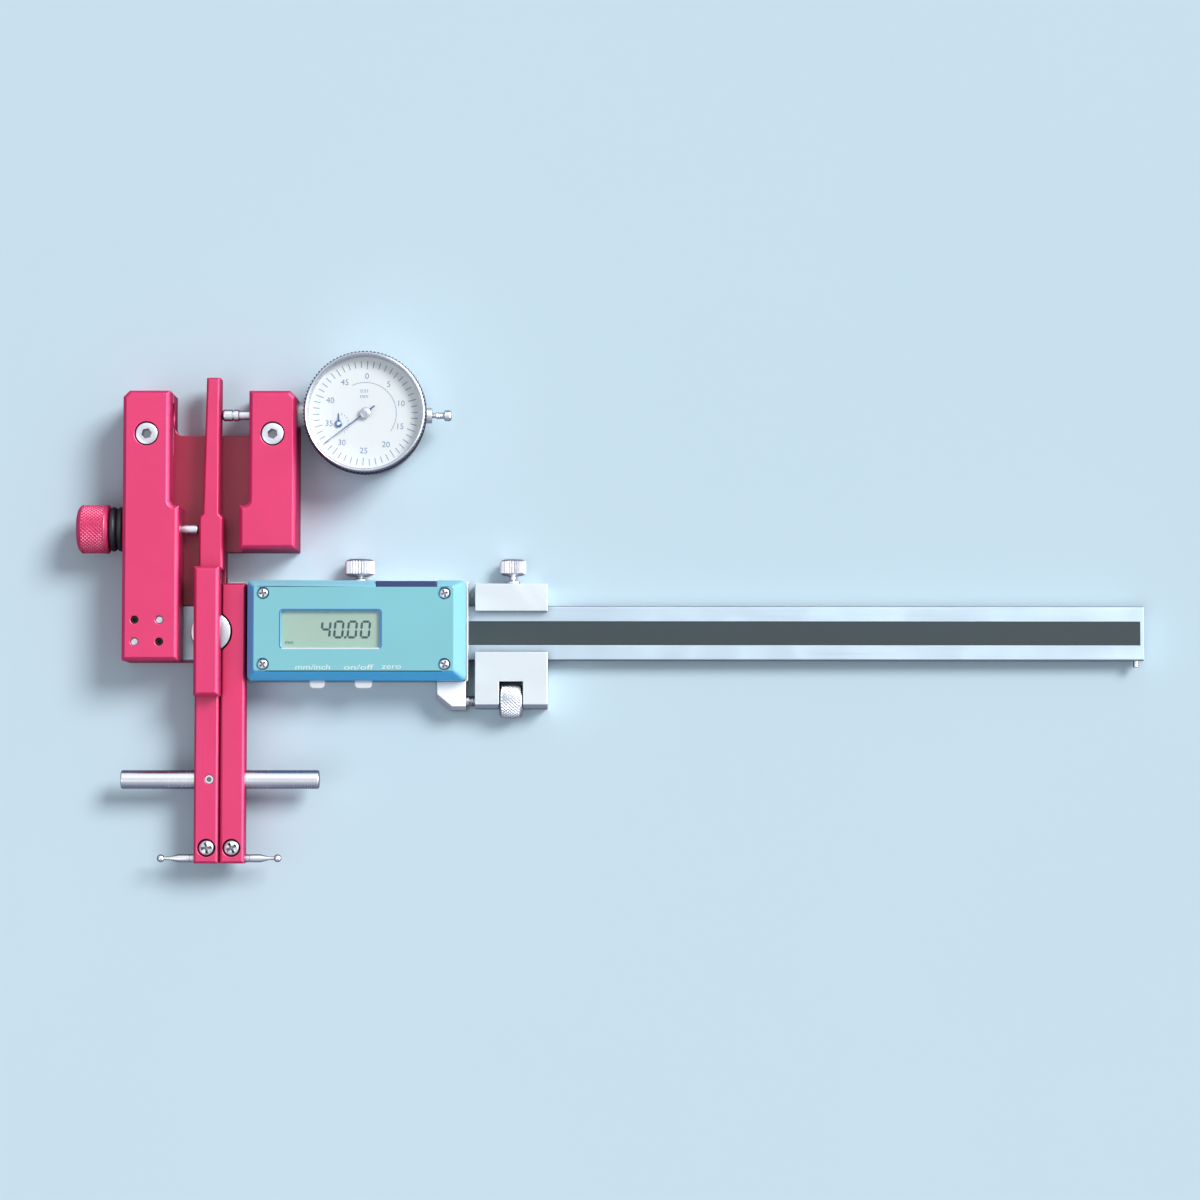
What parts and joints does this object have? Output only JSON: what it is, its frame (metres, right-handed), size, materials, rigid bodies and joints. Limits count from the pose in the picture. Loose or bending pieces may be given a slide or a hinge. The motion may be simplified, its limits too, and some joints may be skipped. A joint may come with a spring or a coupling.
{
  "type": "two-ball measuring gauge",
  "caption": "Comparator caliper with ball styli on long arms, a swinging rocker read by a dial gauge, and a digital slide with fine adjustment on a flat beam.",
  "frame": {"origin": "where the rocker's pivot axis meets the flat back plane on which the gauge lies", "axes": "+X along the beam away from the columns, +Y up the two columns towards the dial gauge, +Z out of the front, towards the reader"},
  "size_m": [0.3455, 0.1643, 0.024],
  "materials": {
    "anodised_red": "satin red anodised aluminium with light broken edges",
    "beam_steel": "brushed stainless steel",
    "bright_steel": "turned bright steel",
    "dark_steel": "blackened steel screws",
    "satin_aluminium": "satin aluminium",
    "scale_strip": "dark matt scale film",
    "brass": "plain brass",
    "ring_rubber": "black rubber",
    "display_shell": "aqua moulded shell, half gloss",
    "button_white": "white moulded buttons",
    "port_navy": "dark navy moulded cover",
    "circuit_green": "green board",
    "lcd_grey": "grey-green display",
    "window_clear": "clear window",
    "crystal_clear": "clear crystal",
    "dial_white": "white printed dial",
    "blued_steel": "blued steel hands"
  },
  "bodies": {
    "frame": {"back_plate": "anodised_red", "left_column": "anodised_red", "right_column": "anodised_red", "column_screws": "dark_steel", "stem_clamp_screws": "bright_steel", "beam": "beam_steel", "scale_strip": "scale_strip", "beam_stop_pin": "bright_steel", "beam_screws": "dark_steel", "beam_dowels": "bright_steel", "pivot_pin": "bright_steel", "pivot_hub": "beam_steel", "gauge_case": "satin_aluminium", "gauge_back_cover": "satin_aluminium", "gauge_movement": "brass", "counter_dial": "dial_white", "knob_bush": "brass", "pin_spring": "bright_steel"},
    "gauge_bezel_ring": {"gauge_bezel": "satin_aluminium", "gauge_dial": "dial_white", "gauge_crystal": "crystal_clear"},
    "pointer": {"gauge_pointer": "blued_steel"},
    "counter": {"counter_hand": "blued_steel"},
    "plunger": {"gauge_plunger": "bright_steel", "contact_point": "bright_steel", "lifting_cap": "bright_steel"},
    "rocker": {"pivot_bush": "brass", "rocker_block": "anodised_red", "rocker_bar": "anodised_red", "left_arm": "anodised_red", "rocker_screws": "dark_steel", "left_rod": "bright_steel", "left_stylus": "bright_steel", "left_arm_screws": "bright_steel"},
    "knob": {"retract_knob": "anodised_red", "knob_o_rings": "ring_rubber", "retract_pin": "bright_steel"},
    "slider": {"right_arm": "anodised_red", "right_arm_screws": "dark_steel", "right_rod": "bright_steel", "right_stylus": "bright_steel", "right_stylus_screw": "bright_steel", "slider_body": "satin_aluminium", "slider_back_plate": "beam_steel", "slider_gib": "brass", "fine_spindle": "bright_steel", "display_housing": "display_shell", "housing_screws": "bright_steel", "circuit_board": "circuit_green", "lcd_module": "lcd_grey", "lcd_window": "window_clear", "battery": "bright_steel", "port_cover": "port_navy"},
    "units_key": {"units_button": "button_white"},
    "power_key": {"power_button": "button_white"},
    "slider_lock": {"slider_lock_screw": "bright_steel"},
    "carriage": {"carriage_block": "beam_steel", "carriage_gib": "brass"},
    "carriage_lock": {"carriage_lock_screw": "bright_steel"},
    "fine_nut": {"adjusting_nut": "bright_steel"}
  },
  "joints": [
    {"name": "slider_travel", "type": "slide", "parent": "frame", "child": "slider", "axis": [1, 0, 0], "range_m": [0, 0.186]},
    {"name": "carriage_fine", "type": "slide", "parent": "slider", "child": "carriage", "axis": [1, 0, 0], "range_m": [-0.002, 0.004]},
    {"name": "nut_turn", "type": "hinge", "parent": "carriage", "child": "fine_nut", "pos_m": [0.0966, -0.0221, 0.006], "axis": [1, 0, 0], "range_deg": [-1450, 2890]},
    {"name": "rocker_swing", "type": "hinge", "parent": "frame", "child": "rocker", "pos_m": [0, 0, 0.015], "axis": [0, 0, -1], "range_deg": [-0.25, 1.2], "stiffness_Nm_per_rad": 1},
    {"name": "plunger_travel", "type": "slide", "parent": "frame", "child": "plunger", "axis": [1, 0, 0], "range_m": [-0.00031, 0.00147]},
    {"name": "pointer_turn", "type": "hinge", "parent": "frame", "child": "pointer", "pos_m": [0.0497, 0.0702, 0.018], "axis": [0, 0, -1], "range_deg": [-221.04, 1059.09]},
    {"name": "counter_turn", "type": "hinge", "parent": "frame", "child": "counter", "pos_m": [0.0411, 0.06679, 0.018], "axis": [0, 0, -1], "range_deg": [-22.15, 105.96]},
    {"name": "bezel_turn", "type": "hinge", "parent": "frame", "child": "gauge_bezel_ring", "pos_m": [0.0497, 0.0702, 0.018], "axis": [0, 0, 1], "continuous": true},
    {"name": "knob_pull", "type": "slide", "parent": "frame", "child": "knob", "axis": [-1, 0, 0], "range_m": [0, 0.003], "stiffness_N_per_m": 600, "springref_m": -0.001, "deforming": ["pin_spring"]},
    {"name": "units_press", "type": "slide", "parent": "slider", "child": "units_key", "axis": [0, 1, 0], "range_m": [0, 0.001], "stiffness_N_per_m": 300},
    {"name": "power_press", "type": "slide", "parent": "slider", "child": "power_key", "axis": [0, 1, 0], "range_m": [0, 0.001], "stiffness_N_per_m": 300},
    {"name": "slider_lock_turn", "type": "hinge", "parent": "slider", "child": "slider_lock", "pos_m": [0.0474, 0.0212, 0.0052], "axis": [0, 1, 0], "range_deg": [0, 360]},
    {"name": "carriage_lock_turn", "type": "hinge", "parent": "carriage", "child": "carriage_lock", "pos_m": [0.0971, 0.0212, 0.0052], "axis": [0, 1, 0], "range_deg": [0, 360]}
  ],
  "couplings": [
    {"joint": "nut_turn", "follows": "carriage_fine", "rad_per_m": 12566},
    {"joint": "plunger_travel", "follows": "rocker_swing", "m_per_rad": 0.0702},
    {"joint": "pointer_turn", "follows": "rocker_swing", "ratio": 882.16},
    {"joint": "counter_turn", "follows": "rocker_swing", "ratio": 88.216}
  ]
}
